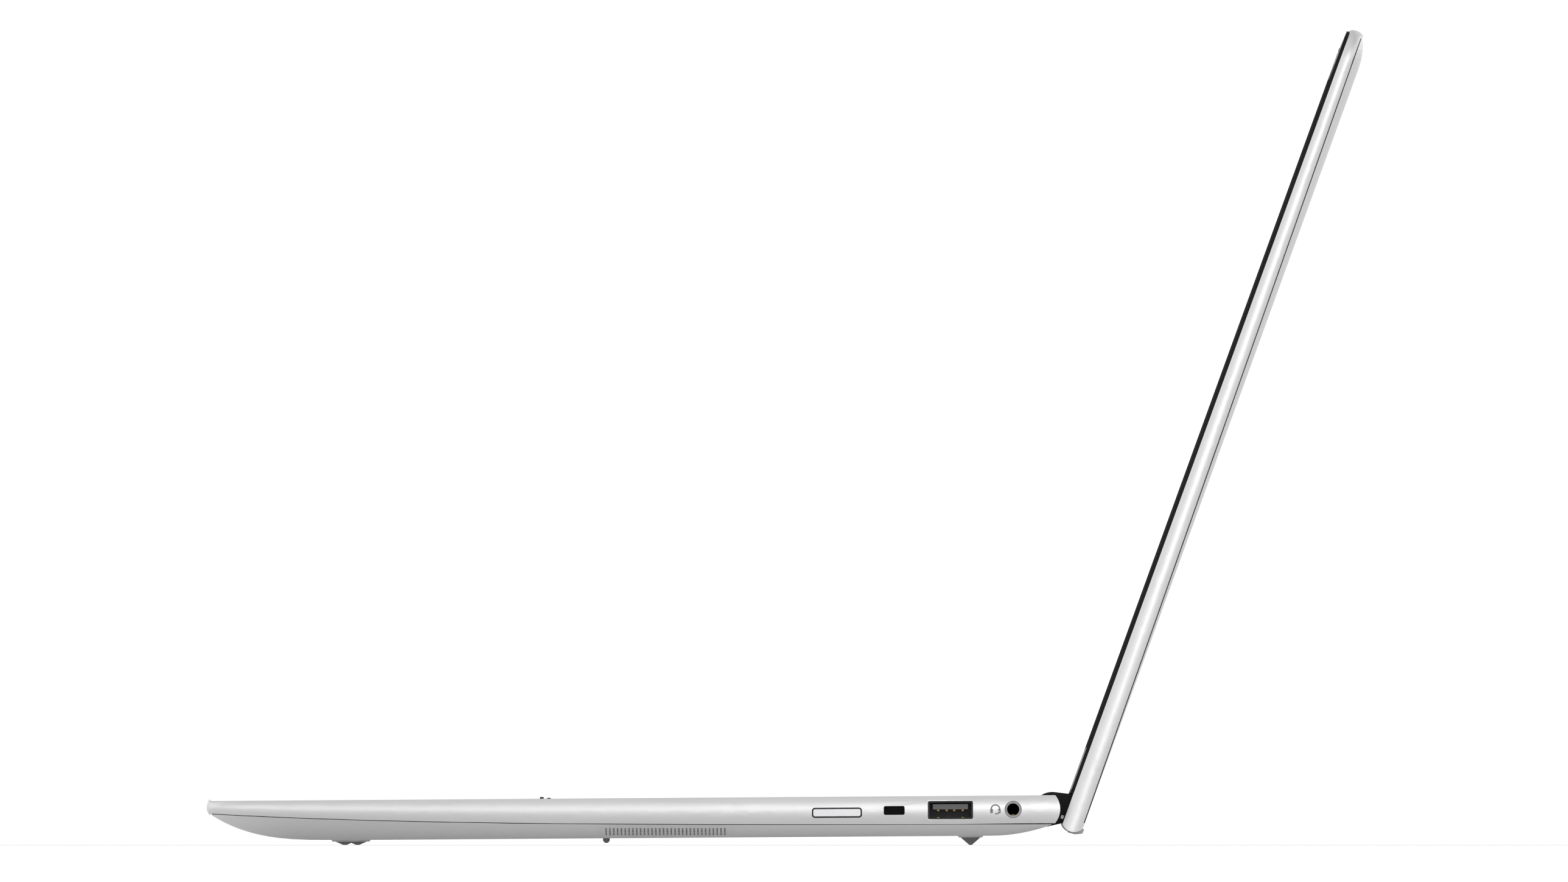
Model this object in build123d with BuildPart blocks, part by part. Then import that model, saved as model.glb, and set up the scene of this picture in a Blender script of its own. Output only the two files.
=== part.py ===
"""A thin 16 inch aluminium laptop computer, open at about 110 degrees.

Millimetres, +Z up, table at Z = 0. X runs across the laptop (the user's right is +X) and Y runs
from the front edge to the back. The base slopes up towards the hinge, because its rear foot is
taller, so the base and the lid are each drawn in a frame of their own:
  base  (x, s, h): s runs back along the deck from the front edge, h is the height above the deck
  lid   (x, y, z): y runs from the hinge axis to the top edge, z points out of the screen
"""
from build123d import *
from math import cos, exp, radians, sin, sqrt
import os

os.makedirs("parts", exist_ok=True)

# ---------------------------------------------------------------- driving dimensions
HALF_WIDTH = 179.7
BASE_LENGTH = 250.6
BASE_THICKNESS = 11.7
DECK_FRONT_Z = 12.9
DECK_TILT = 0.39
FRONT_Y = -169.6
CORNER_RADIUS = 9.0
NOSE_BULGE = 1.0
SEAM_GAP = 0.15
SKIN = 1.2

# the seam between the top case and the bottom cover drops away from the front edge
SEAM_REAR = -8.5
SEAM_RISE = 4.85
SEAM_FADE = 75.0
SEAM_END_S = 248.9

# the underside sweeps up to the seam at the front, and again at the rear
FRONT_BELLY = 40.0
FRONT_RISE = 8.55
REAR_BELLY = 17.9
REAR_RISE = 3.3
BELLY_RUN = 4.0

HINGE_S = 246.7
HINGE_H = -4.4
OPEN_ANGLE = 110.35
NOTCH_HALF = 151.0
NOTCH_RADIUS = 5.6
LOW_NOTCH_RADIUS = 6.4
PIN_RADIUS = 1.75
RUNNING_FIT = 0.05

LID_TOP = 246.2
LID_FACE = -4.7
LID_RIM = -5.7
LID_BACK = -11.75
LID_BAND = 3.6
LID_BAND_GROWTH = 0.0092
LID_BELLY = 13.0

KEY_PITCH = 18.7
KEY_GAP = 2.7
KEY_CLEARANCE = 0.3
KEY_TOP = -0.15
KEY_HEIGHT = 2.15
KEY_WALL = 1.0
KEY_CAVITY = 1.35
TRAY_DEPTH = 0.5
PLATE_TOP = -4.0
STICK_X = -14.0
STICK_S = 153.9
STICK_RADIUS = 3.4

DISPLAY_HALF = 172.3
DISPLAY_LOW = 21.5
DISPLAY_HIGH = 236.9

# ---------------------------------------------------------------- frames
tilt = radians(DECK_TILT)
lean = radians(OPEN_ANGLE - 90 - DECK_TILT)
deck = Plane(origin=(0, FRONT_Y, DECK_FRONT_Z), x_dir=(1, 0, 0), z_dir=(0, -sin(tilt), cos(tilt)))
side = Plane(origin=deck.origin, x_dir=deck.y_dir, z_dir=(1, 0, 0))
hinge_point = deck.from_local_coords(Vector(0, HINGE_S, HINGE_H))
lid = Plane(origin=hinge_point, x_dir=(1, 0, 0), z_dir=(0, -cos(lean), sin(lean)))
lid_side = Plane(origin=hinge_point, x_dir=lid.y_dir, z_dir=(1, 0, 0))


def station(frame, distance):
    """The plane across a frame at a distance along its y, with its own y along the frame's z."""
    origin = frame.from_local_coords(Vector(0, distance, 0))
    return Plane(origin=origin, x_dir=(-1, 0, 0), z_dir=frame.y_dir)


def save(piece, name):
    """Label a finished piece and write its STEP file."""
    piece.part.label = name
    export_step(piece.part, f"parts/{name}.step")


def save_both(right, name):
    """Write a piece of the right-hand side and its mirror image on the left."""
    save(right, f"{name}_right")
    with BuildPart() as left:
        mirror(right.part, about=Plane.YZ)
    save(left, f"{name}_left")


# ---------------------------------------------------------------- outer shape
def seam_height(s):
    return SEAM_REAR + SEAM_RISE * exp(-s / SEAM_FADE)


def belly_height(s):
    """Height of the underside on the centre line."""
    front = max(0, 1 - s / FRONT_BELLY) ** 3.4
    rear = max(0, 1 - (SEAM_END_S - s) / REAR_BELLY) ** 1.9
    return -BASE_THICKNESS + FRONT_RISE * front + REAR_RISE * rear


def lid_seam(y):
    return LID_RIM - LID_BAND - LID_BAND_GROWTH * (LID_TOP - y)


def lid_belly(y):
    """The back of the lid on the centre line."""
    nose = max(0, 1 - (LID_TOP - NOSE_BULGE - y) / LID_BELLY) ** 3.6
    return LID_BACK + (LID_RIM - LID_BAND - LID_BACK) * nose


def band_inset(height):
    """How far the side band curves in at its two edges."""
    return 0.6 + 0.11 * height


def plan_half_width(from_nose, inset):
    """Half width of the rounded outline, drawn in by inset, at a distance from the nose."""
    radius = CORNER_RADIUS - inset
    across = max(0, CORNER_RADIUS - from_nose)
    return HALF_WIDTH - CORNER_RADIUS + sqrt(max(0, radius**2 - across**2))


def band_section(frame, distance, from_nose, top, bottom):
    """A slice across a shell, whose sides bulge out between its top and bottom edges."""
    middle = (top + bottom) / 2
    half_height = (top - bottom) / 2
    edge = plan_half_width(from_nose, band_inset(top - bottom))
    if from_nose < NOSE_BULGE:
        nose_radius = (half_height**2 + NOSE_BULGE**2) / (2 * NOSE_BULGE)
        half_height = sqrt(2 * nose_radius * from_nose - from_nose**2)
    with BuildSketch(station(frame, distance)) as section:
        with BuildLine():
            for way in (1, -1):
                ThreePointArc(
                    (way * edge, middle + half_height),
                    (way * plan_half_width(from_nose, 0), middle),
                    (way * edge, middle - half_height),
                )
                Line((-edge, middle + way * half_height), (edge, middle + way * half_height))
        make_face()
    return section.sketch


def belly_section(plane, half, top, floor, skirt=0.0):
    """A slice that is flat on top and curves in to a flat floor, below an upright skirt."""
    run = BELLY_RUN * (top - floor)
    drop = 0.62 * (top - floor)
    with BuildSketch(plane) as section:
        with BuildLine():
            Line((half - run, floor), (run - half, floor))
            for mirrored in (1, -1):
                Bezier(
                    (mirrored * half, top),
                    (mirrored * (half - 0.25 * run), top - drop),
                    (mirrored * (half - 0.6 * run), floor),
                    (mirrored * (half - run), floor),
                )
                if skirt:
                    Line((mirrored * half, top), (mirrored * half, top + skirt))
            Line((-half, top + skirt), (half, top + skirt))
        make_face()
    return section.sketch


# distances back from the nose: closely spaced round the corner, then wider
NOSE_STATIONS = (0.02, 0.12, 0.3, 0.6, NOSE_BULGE)
CORNER_STATIONS = [
    NOSE_BULGE + (CORNER_RADIUS - NOSE_BULGE) * (1 - cos(radians(angle))) for angle in range(0, 91, 10)
]
LONG_STATIONS = [14, 22, 32, 45, 65, 95, 135, 185, 230]
BELLY_STATIONS = CORNER_STATIONS[2:] + [10.5, 12.5, 15, 18, 21, 25, 30, 37, 45, 60, 80, 110, 150, 190, 230]


# ---------------------------------------------------------------- keyboard layout
def row_of_keys(centre_s, depth, widths):
    """Centre, width and depth of the space for each key in a row of 15 key units."""
    keys = []
    start = -sum(widths) * KEY_PITCH / 2
    for units in widths:
        keys.append((start + units * KEY_PITCH / 2, centre_s, units * KEY_PITCH, depth))
        start += units * KEY_PITCH
    return keys


ROW_DEPTH = 18.2
keyboard = {
    "function": row_of_keys(214.2, 11.6, [1.0] * 15),
    "number": row_of_keys(199.4, ROW_DEPTH, [1.0] * 13 + [2.0]),
    "upper_letter": row_of_keys(181.2, ROW_DEPTH, [1.5] + [1.0] * 12 + [1.5]),
    "home_letter": row_of_keys(163.0, ROW_DEPTH, [1.75] + [1.0] * 11 + [2.25]),
    "lower_letter": row_of_keys(144.8, ROW_DEPTH, [2.25] + [1.0] * 10 + [2.75]),
    "bottom_row": row_of_keys(126.6, ROW_DEPTH, [1.25, 1, 1, 1.25, 5, 1.25, 1, 1.05, 1.1, 1.1]),
}
# the up and down arrows share one space
arrow_x, arrow_s, arrow_width, arrow_depth = keyboard["bottom_row"][8]
keyboard["bottom_row"][8:9] = [
    (arrow_x, arrow_s + arrow_depth / 4, arrow_width, arrow_depth / 2 + 1),
    (arrow_x, arrow_s - arrow_depth / 4, arrow_width, arrow_depth / 2 + 1),
]
single_keys = {
    ("function", 0): "escape_key",
    ("function", 13): "power_key",
    ("number", 13): "backspace_key",
    ("home_letter", 12): "enter_key",
    ("lower_letter", 0): "left_shift_key",
    ("lower_letter", 11): "right_shift_key",
    ("bottom_row", 4): "space_bar",
}
all_keys = [key for row in keyboard.values() for key in row]


def key_outlines(keys, growth=0.0, stick_clearance=0.0):
    """Rounded outlines of keys in the current sketch, cut back round the pointing stick."""
    for x, s, width, depth in keys:
        with Locations((x, s)):
            RectangleRounded(width - KEY_GAP + 2 * growth, depth - KEY_GAP + 2 * growth, 1.2)
    with Locations((STICK_X, STICK_S)):
        Circle(STICK_RADIUS + stick_clearance, mode=Mode.SUBTRACT)


# ---------------------------------------------------------------- openings in the side walls
def slot_outline(s, h, length, height, radius):
    """A rounded slot in the current sketch of the side."""
    with Locations((s, h)):
        RectangleRounded(length, height, radius)


SIM_S, SIM_H = 185.1, -4.71
LOCK_S, LOCK_H = 201.9, -4.16
USB_S, USB_H = 218.4, -4.18
AUDIO_S, AUDIO_H = 236.8, -4.1
LEFT_USB_S, HDMI_S = 214.0, 233.0
USB_C_S = (181.0, 196.0)
PORT_H = -4.2
USB_LENGTH, USB_HEIGHT = 13.1, 5.3
HDMI_LENGTH, HDMI_HEIGHT = 15.2, 5.4
USB_C_LENGTH, USB_C_HEIGHT = 9.2, 3.5
PORT_MOUTH = 178.9
PORT_BACK = 165.0
WALL_INNER = 176.0

# ---------------------------------------------------------------- top case
BUMPER_X, BUMPER_S, BUMPER_RADIUS = 90.0, 97.5, 0.6
SCREW_PLACES = ((-135, 101), (135, 101), (-146, 227), (0, 232), (146, 227))

with BuildPart() as top_case:
    loft([band_section(deck, s, s, 0, seam_height(s)) for s in NOSE_STATIONS])
    loft([band_section(deck, s, s, 0, seam_height(s)) for s in CORNER_STATIONS + LONG_STATIONS + [256]])
    # rounded rear end
    with BuildSketch(side):
        with BuildLine():
            Polyline((249.2, 0), (249.2, 2), (-1, 2), (-1, -12), (SEAM_END_S, -12), (SEAM_END_S, -8.4))
            ThreePointArc((SEAM_END_S, -8.4), (BASE_LENGTH, -4.2), (249.2, 0))
        make_face()
    extrude(amount=HALF_WIDTH + 1, both=True, mode=Mode.INTERSECT)
    # hollow underneath
    with BuildSketch(deck.offset(-SKIN)):
        with Locations((0, (3.5 + 236) / 2)):
            RectangleRounded(2 * WALL_INNER, 236 - 3.5, 6)
    extrude(amount=-14, mode=Mode.SUBTRACT)
    # notch for the hinge cover
    with BuildSketch(side):
        with Locations((HINGE_S, HINGE_H)):
            Circle(NOTCH_RADIUS)
            Polygon((-7.4, 6), (-7.4, 4.6), (-6.4, 0.4), (-5.5, -1.5), (0, -1.5), (0, -9), (8, -9), (8, 6),
                    align=None)
    extrude(amount=NOTCH_HALF, both=True, mode=Mode.SUBTRACT)
    # pockets for the hinge brackets, and a hole for each pin
    with BuildSketch(side.offset(153.5)):
        with Locations((HINGE_S, HINGE_H)):
            Circle(2.9)
        with Locations((240, HINGE_H)):
            Rectangle(2 * (HINGE_S - 240), 5.8)
    pocket = extrude(amount=3.6, mode=Mode.SUBTRACT)
    with BuildSketch(side.offset(150)):
        with Locations((HINGE_S, HINGE_H)):
            Circle(PIN_RADIUS + 0.1)
    pin_hole = extrude(amount=5, mode=Mode.SUBTRACT)
    mirror([pocket, pin_hole], about=Plane.YZ, mode=Mode.SUBTRACT)
    # sunken keyboard tray with one hole for each key
    with BuildSketch(deck):
        with Locations((0, 168.2)):
            RectangleRounded(285, 107.6, 4)
    extrude(amount=-TRAY_DEPTH, mode=Mode.SUBTRACT)
    with BuildSketch(deck):
        key_outlines(all_keys, KEY_CLEARANCE, 1.0)
        with Locations((STICK_X, STICK_S)):
            Circle(STICK_RADIUS + 0.4)
    extrude(amount=-2, mode=Mode.SUBTRACT)
    # seats for the two deck bumpers
    with BuildSketch(deck):
        with Locations((-BUMPER_X, BUMPER_S), (BUMPER_X, BUMPER_S)):
            Circle(BUMPER_RADIUS + 0.02)
    extrude(amount=-0.6, mode=Mode.SUBTRACT)
    # touchpad and the two buttons behind it
    with BuildSketch(deck):
        with Locations((0, 52)):
            RectangleRounded(124.6, 80.6, 2.3)
        with Locations((0, 98.6)):
            RectangleRounded(124.6, 10.1, 1.5)
    extrude(amount=-2, mode=Mode.SUBTRACT)
    # bosses for the bottom screws
    with BuildSketch(deck.offset(-SKIN + 0.3)):
        with Locations(*SCREW_PLACES):
            Circle(3)
    extrude(amount=-9.0)
    with BuildSketch(deck.offset(-12)):
        with Locations(*SCREW_PLACES):
            Circle(1.0)
    extrude(amount=8, mode=Mode.SUBTRACT)
    # ports through the right wall
    with BuildSketch(side.offset(160)):
        slot_outline(SIM_S, SIM_H, 14.0, 2.25, 0.55)
        slot_outline(LOCK_S, LOCK_H, 6.15, 2.6, 0.5)
        slot_outline(USB_S, USB_H, USB_LENGTH + 0.2, USB_HEIGHT + 0.2, 0.5)
        with Locations((AUDIO_S, AUDIO_H)):
            Circle(2.5)
    extrude(amount=25, mode=Mode.SUBTRACT)
    # ports through the left wall
    with BuildSketch(side.offset(-185)):
        slot_outline(HDMI_S, PORT_H, HDMI_LENGTH + 0.2, HDMI_HEIGHT + 0.2, 0.8)
        slot_outline(LEFT_USB_S, PORT_H, USB_LENGTH + 0.2, USB_HEIGHT + 0.2, 0.5)
        for s in USB_C_S:
            slot_outline(s, PORT_H, USB_C_LENGTH + 0.2, USB_C_HEIGHT + 0.2, 1.7)
    extrude(amount=25, mode=Mode.SUBTRACT)
save(top_case, "top_case")


# ---------------------------------------------------------------- bottom cover and feet
COVER_WALL = 1.1
COVER_FLOOR = -BASE_THICKNESS + COVER_WALL
FRONT_FOOT_S, REAR_FOOT_S = 39.6, 224.1
FRONT_FOOT_X = (98, 128)
REAR_FOOT_HALF = 140
FAN_X, FAN_S = 100, 180


def cover_section(s, wall=0.0):
    """The outside of the bottom cover at s, or its cavity a wall thickness further in."""
    top = seam_height(s) - SEAM_GAP + wall
    half = plan_half_width(s, band_inset(-seam_height(s)) + 0.1) - 0.4 * wall
    return belly_section(station(deck, s), half, top, belly_height(s) + wall)


def table_height(s):
    """Height of the table in the frame of the base."""
    return -(DECK_FRONT_Z + s * sin(tilt)) / cos(tilt)


def pedestal_height(s):
    """Height of the flat face that carries a foot, the same at every s."""
    return -BASE_THICKNESS - 0.5


def foot_outline(s, top, low, half_top, half_low):
    """A tapered strip section in the current sketch of the side, between two heights or edges."""
    front, rear = s - half_low, s + half_low
    with BuildLine() as edge:
        Polyline((s - half_top, top), (s + half_top, top), (rear, low(rear)), (front, low(front)),
                 close=True)
    make_face(edge.edges())


with BuildPart() as bottom_cover:
    loft([cover_section(s) for s in BELLY_STATIONS + [233, 236, 239, 242, 245, 248]], ruled=True)
    cavity = [4.5, 6, 8] + BELLY_STATIONS[8:] + [233, 237]
    loft([cover_section(s, COVER_WALL) for s in cavity], ruled=True, mode=Mode.SUBTRACT)
    with BuildSketch(side):
        with Locations((HINGE_S, HINGE_H)):
            Circle(LOW_NOTCH_RADIUS)
            Polygon((-5.5, 6), (-5.5, -1.5), (0, -1.5), (0, -9), (8, -9), (8, 6), align=None)
    extrude(amount=NOTCH_HALF, both=True, mode=Mode.SUBTRACT)
    # silver pedestals that carry the feet
    with BuildSketch(side.offset(FRONT_FOOT_X[0] - 1)):
        foot_outline(FRONT_FOOT_S, -BASE_THICKNESS + 0.3, pedestal_height, 3.9, 3.35)
    right_pedestal = extrude(amount=FRONT_FOOT_X[1] - FRONT_FOOT_X[0] + 2)
    mirror(right_pedestal, about=Plane.YZ)
    with BuildSketch(side):
        foot_outline(REAR_FOOT_S, -BASE_THICKNESS + 0.3, pedestal_height, 3.9, 3.35)
    extrude(amount=REAR_FOOT_HALF + 1, both=True)
    # standoffs under the main board, pads round the screws
    with BuildSketch(deck.offset(COVER_FLOOR - 0.2)):
        with Locations((-120, 114), (120, 114), (-120, 206), (30, 206)):
            Circle(2)
    extrude(amount=3.4)
    with BuildSketch(deck.offset(COVER_FLOOR - 0.2)):
        with Locations(*SCREW_PLACES):
            Circle(4)
    extrude(amount=0.8)
    with BuildSketch(deck.offset(-BASE_THICKNESS - 0.5)):
        with Locations(*SCREW_PLACES):
            Circle(2.7)
    extrude(amount=1.4, mode=Mode.SUBTRACT)
    with BuildSketch(deck.offset(-BASE_THICKNESS - 0.5)):
        with Locations(*SCREW_PLACES):
            Circle(1.3)
    extrude(amount=3, mode=Mode.SUBTRACT)
    # air inlet under the fan and outlet behind the fins
    with BuildSketch(deck.offset(-BASE_THICKNESS - 1)):
        with Locations((FAN_X, FAN_S - 4)):
            with GridLocations(3.6, 14.5, 15, 3):
                SlotOverall(12.5, 1.6, rotation=90)
        with Locations((FAN_X, 233.6)):
            with GridLocations(3.6, 1, 17, 1):
                SlotOverall(5, 1.6, rotation=90)
    extrude(amount=2.8, mode=Mode.SUBTRACT)
save(bottom_cover, "bottom_cover")

with BuildPart() as front_foot:
    with BuildSketch(side.offset(FRONT_FOOT_X[0])):
        foot_outline(FRONT_FOOT_S, pedestal_height(FRONT_FOOT_S), table_height, 2.55, 0.3)
    extrude(amount=FRONT_FOOT_X[1] - FRONT_FOOT_X[0])
save_both(front_foot, "front_foot")

with BuildPart() as rear_foot:
    with BuildSketch(side):
        foot_outline(REAR_FOOT_S, pedestal_height(REAR_FOOT_S), table_height, 2.85, 0.3)
    extrude(amount=REAR_FOOT_HALF, both=True)
save(rear_foot, "rear_foot")

CENTRE_FOOT_S, CENTRE_FOOT_RADIUS = 115.6, 1.03
with BuildPart() as centre_foot:
    with BuildSketch(side):
        with BuildLine():
            reach = -BASE_THICKNESS - 0.4
            Polyline((CENTRE_FOOT_S, reach - CENTRE_FOOT_RADIUS), (CENTRE_FOOT_S, -BASE_THICKNESS),
                     (CENTRE_FOOT_S + CENTRE_FOOT_RADIUS, -BASE_THICKNESS),
                     (CENTRE_FOOT_S + CENTRE_FOOT_RADIUS, reach))
            RadiusArc((CENTRE_FOOT_S + CENTRE_FOOT_RADIUS, reach),
                      (CENTRE_FOOT_S, reach - CENTRE_FOOT_RADIUS), CENTRE_FOOT_RADIUS)
        make_face()
    centre_line = deck.from_local_coords(Vector(0, CENTRE_FOOT_S, 0))
    revolve(axis=Axis(centre_line, deck.z_dir))
save(centre_foot, "centre_foot")

with BuildPart() as deck_bumpers:
    with BuildSketch(deck.offset(-0.6)):
        with Locations((-BUMPER_X, BUMPER_S), (BUMPER_X, BUMPER_S)):
            Circle(BUMPER_RADIUS)
    extrude(amount=1.2)
    fillet(deck_bumpers.faces().group_by(Axis.Z)[-1].edges(), 0.25)
save(deck_bumpers, "deck_bumpers")

with BuildPart() as bottom_screws:
    with BuildSketch(deck.offset(-BASE_THICKNESS + 0.15)):
        with Locations(*SCREW_PLACES):
            Circle(2.5)
            RegularPolygon(1.15, 6, mode=Mode.SUBTRACT)
    extrude(amount=0.7)
    with BuildSketch(deck.offset(-BASE_THICKNESS + 0.75)):
        with Locations(*SCREW_PLACES):
            Circle(2.5)
    extrude(amount=0.1)
    with BuildSketch(deck.offset(-BASE_THICKNESS + 0.8)):
        with Locations(*SCREW_PLACES):
            Circle(0.95)
    extrude(amount=5)
save(bottom_screws, "bottom_screws")

# ---------------------------------------------------------------- keyboard
with BuildPart() as keyboard_plate:
    with BuildSketch(deck.offset(PLATE_TOP - 0.6)):
        with Locations((0, 168.75)):
            RectangleRounded(284, 105.5, 3)
    extrude(amount=0.6)
    with BuildSketch(deck.offset(PLATE_TOP)):
        with Locations((0, 168.75)):
            RectangleRounded(284, 105.5, 3)
            RectangleRounded(281.6, 103.1, 2, mode=Mode.SUBTRACT)
    extrude(amount=-SKIN - PLATE_TOP)
save(keyboard_plate, "keyboard_plate")

with BuildPart() as rubber_domes:
    with BuildSketch(deck.offset(PLATE_TOP)):
        with Locations(*[(x, s) for x, s, width, depth in all_keys]):
            Circle(2.3)
    extrude(amount=1.3, taper=20)
save(rubber_domes, "rubber_domes")


def build_keys(keys, name):
    """Hollow key caps with rounded top edges."""
    with BuildPart() as caps:
        with BuildSketch(deck.offset(KEY_TOP)):
            key_outlines(keys, 0, 1.3)
        extrude(amount=-KEY_HEIGHT)
        tops = caps.faces().filter_by(
            lambda face: abs(deck.to_local_coords(face.center()).Z - KEY_TOP) < 0.01
        )
        fillet(tops.edges(), 0.4)
        with BuildSketch(deck.offset(KEY_TOP - KEY_HEIGHT)):
            key_outlines(keys, -KEY_WALL, 1.3 + KEY_WALL)
        extrude(amount=KEY_CAVITY, mode=Mode.SUBTRACT)
    save(caps, name)


for row, keys in keyboard.items():
    build_keys([key for place, key in enumerate(keys) if (row, place) not in single_keys], f"{row}_keys")
for (row, place), name in single_keys.items():
    build_keys([keyboard[row][place]], name)

with BuildPart() as pointing_stick:
    with BuildSketch(deck.offset(PLATE_TOP)):
        with Locations((STICK_X, STICK_S)):
            Circle(1.3)
    extrude(amount=2.4)
    with BuildSketch(deck.offset(-1.7)):
        with Locations((STICK_X, STICK_S)):
            Circle(STICK_RADIUS)
    extrude(amount=1.9)
    fillet(pointing_stick.faces().sort_by(Axis.Z)[-1].edges(), 0.7)
save(pointing_stick, "pointing_stick")

# ---------------------------------------------------------------- touchpad and its buttons
with BuildPart() as touchpad:
    with BuildSketch(deck.offset(-0.1)):
        with Locations((0, 52)):
            RectangleRounded(124, 80, 2)
    extrude(amount=-0.9)
    with BuildSketch(deck.offset(-1.0)):
        with Locations((0, 52)):
            RectangleRounded(120, 76, 2)
    extrude(amount=-1.4)
save(touchpad, "touchpad")

with BuildPart() as stick_button:
    with BuildSketch(deck.offset(-0.1)):
        with Locations((31.1, 98.6)):
            RectangleRounded(61.6, 9.5, 1.2)
    extrude(amount=-1.7)
    fillet(stick_button.faces().sort_by(Axis.Z)[-1].edges(), 0.3)
save_both(stick_button, "stick_button")

# ---------------------------------------------------------------- inside the base
BOARD_LOW, BOARD_THICKNESS = -7.4, 0.8
with BuildPart() as main_board:
    with BuildSketch(deck.offset(BOARD_LOW)):
        with Locations((0, 160)):
            Rectangle(272, 104)
        with Locations((FAN_X, FAN_S)):
            Rectangle(68, 68, mode=Mode.SUBTRACT)
    extrude(amount=BOARD_THICKNESS)
    with BuildSketch(deck.offset(BOARD_LOW)):
        with Locations((0, 178)):
            Rectangle(44, 26)
        with Locations((-2, 146)):
            with GridLocations(17, 1, 4, 1):
                Rectangle(13, 10)
    extrude(amount=-0.9)
save(main_board, "main_board")

with BuildPart() as battery_pack:
    with BuildSketch(deck.offset(-10.45)):
        with Locations((0, 60)):
            RectangleRounded(260, 60, 2)
    extrude(amount=1.0)
    with BuildSketch(deck.offset(-9.45)):
        with Locations((0, 60)):
            with GridLocations(64.5, 1, 4, 1):
                RectangleRounded(63, 57, 2)
    extrude(amount=4.2)
save(battery_pack, "battery_pack")

FAN_LOW, FAN_HIGH = -10.4, -5.2
with BuildPart() as fan_housing:
    with BuildSketch(deck.offset(FAN_LOW)):
        with Locations((FAN_X, FAN_S)):
            RectangleRounded(56, 56, 8)
    extrude(amount=FAN_HIGH - FAN_LOW)
    with BuildSketch(deck.offset(FAN_LOW + 0.8)):
        with Locations((FAN_X, FAN_S)):
            Circle(26)
        with Locations((FAN_X, FAN_S + 18)):
            Rectangle(50, 24)
    extrude(amount=FAN_HIGH - FAN_LOW - 1.6, mode=Mode.SUBTRACT)
    with BuildSketch(deck.offset(FAN_LOW)):
        with Locations((FAN_X, FAN_S)):
            Circle(17)
    extrude(amount=1, mode=Mode.SUBTRACT)
    with BuildSketch(deck.offset(FAN_HIGH - 0.8)):
        with Locations((FAN_X, FAN_S)):
            Circle(1.0)
    extrude(amount=-3.2)
save(fan_housing, "fan_housing")

with BuildPart() as fan_rotor:
    with BuildSketch(deck.offset(-9.3)):
        with Locations((FAN_X, FAN_S)):
            Circle(9)
            with PolarLocations(8, 23):
                with Locations((8, 0)):
                    Rectangle(17, 0.9, rotation=18)
            Circle(1.0 + RUNNING_FIT, mode=Mode.SUBTRACT)
    extrude(amount=3.0)
save(fan_rotor, "fan_rotor")

with BuildPart() as heat_pipe:
    with BuildSketch(deck.offset(-9.6)):
        with BuildLine():
            FilletPolyline((-18, 178), (38, 178), (58, 214), (131, 214), radius=12)
        trace(line_width=8)
        with Locations((0, 178)):
            RectangleRounded(40, 24, 2)
    extrude(amount=1.3)
    with BuildSketch(deck.offset(-8.3)):
        with Locations((101, 214)):
            with GridLocations(2.0, 1, 29, 1):
                Rectangle(0.5, 8.6)
    extrude(amount=2.9)
save(heat_pipe, "heat_pipe")


def build_card(name, x, s, length, width):
    """A plug-in card under the main board, with two packages on it."""
    with BuildPart() as card:
        with BuildSketch(deck.offset(-9.2)):
            with Locations((x, s)):
                Rectangle(length, width)
        extrude(amount=0.8)
        with BuildSketch(deck.offset(-8.4)):
            with Locations((x, s)):
                with GridLocations(length * 0.45, 1, 2, 1):
                    Rectangle(length * 0.3, width * 0.7)
        extrude(amount=0.9)
    save(card, name)


build_card("ssd_module", -84, 140, 80, 22)
build_card("wireless_card", -84, 186, 30, 22)

with BuildPart() as speaker:
    with BuildSketch(deck.offset(-10.4)):
        with Locations((150.3, 136)):
            RectangleRounded(21, 44, 3)
    extrude(amount=4.8)
    with BuildSketch(deck.offset(-5.6)):
        with Locations((150.3, 136)):
            SlotOverall(34, 14, rotation=90)
    extrude(amount=-0.6, mode=Mode.SUBTRACT)
save_both(speaker, "speaker")

# ---------------------------------------------------------------- ports
def build_receptacle(name, places, length, height, radius, tongue, toward=1):
    """Hollow connector shells at places along the side, each with a tongue inside.

    tongue is its height above the middle, its length and its thickness; toward is +1 on the right.
    """
    with BuildPart() as shells:
        with BuildSketch(side.offset(toward * PORT_MOUTH)):
            for s, h in places:
                slot_outline(s, h, length, height, radius)
        extrude(amount=toward * (PORT_BACK - PORT_MOUTH))
        with BuildSketch(side.offset(toward * PORT_MOUTH)):
            for s, h in places:
                slot_outline(s, h, length - 0.8, height - 0.8, max(radius - 0.4, 0.1))
        extrude(amount=toward * (PORT_BACK + 1 - PORT_MOUTH), mode=Mode.SUBTRACT)
        with BuildSketch(side.offset(toward * (PORT_BACK + 0.5))):
            with Locations(*[(s, h + tongue[0]) for s, h in places]):
                Rectangle(tongue[1], tongue[2])
        extrude(amount=toward * (PORT_MOUTH - PORT_BACK - 1.6))
    save(shells, name)


build_receptacle("usb_a_port_right", [(USB_S, USB_H)], USB_LENGTH, USB_HEIGHT, 0.4, (1.0, 10.3, 1.5))
build_receptacle("usb_a_port_left", [(LEFT_USB_S, PORT_H)], USB_LENGTH, USB_HEIGHT, 0.4,
                 (1.0, 10.3, 1.5), toward=-1)
build_receptacle("hdmi_port", [(HDMI_S, PORT_H)], HDMI_LENGTH, HDMI_HEIGHT, 0.8, (0.2, 11.5, 0.9),
                 toward=-1)
build_receptacle("usb_c_ports", [(s, PORT_H) for s in USB_C_S], USB_C_LENGTH, USB_C_HEIGHT, 1.6,
                 (0, 6.6, 0.7), toward=-1)

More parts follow.
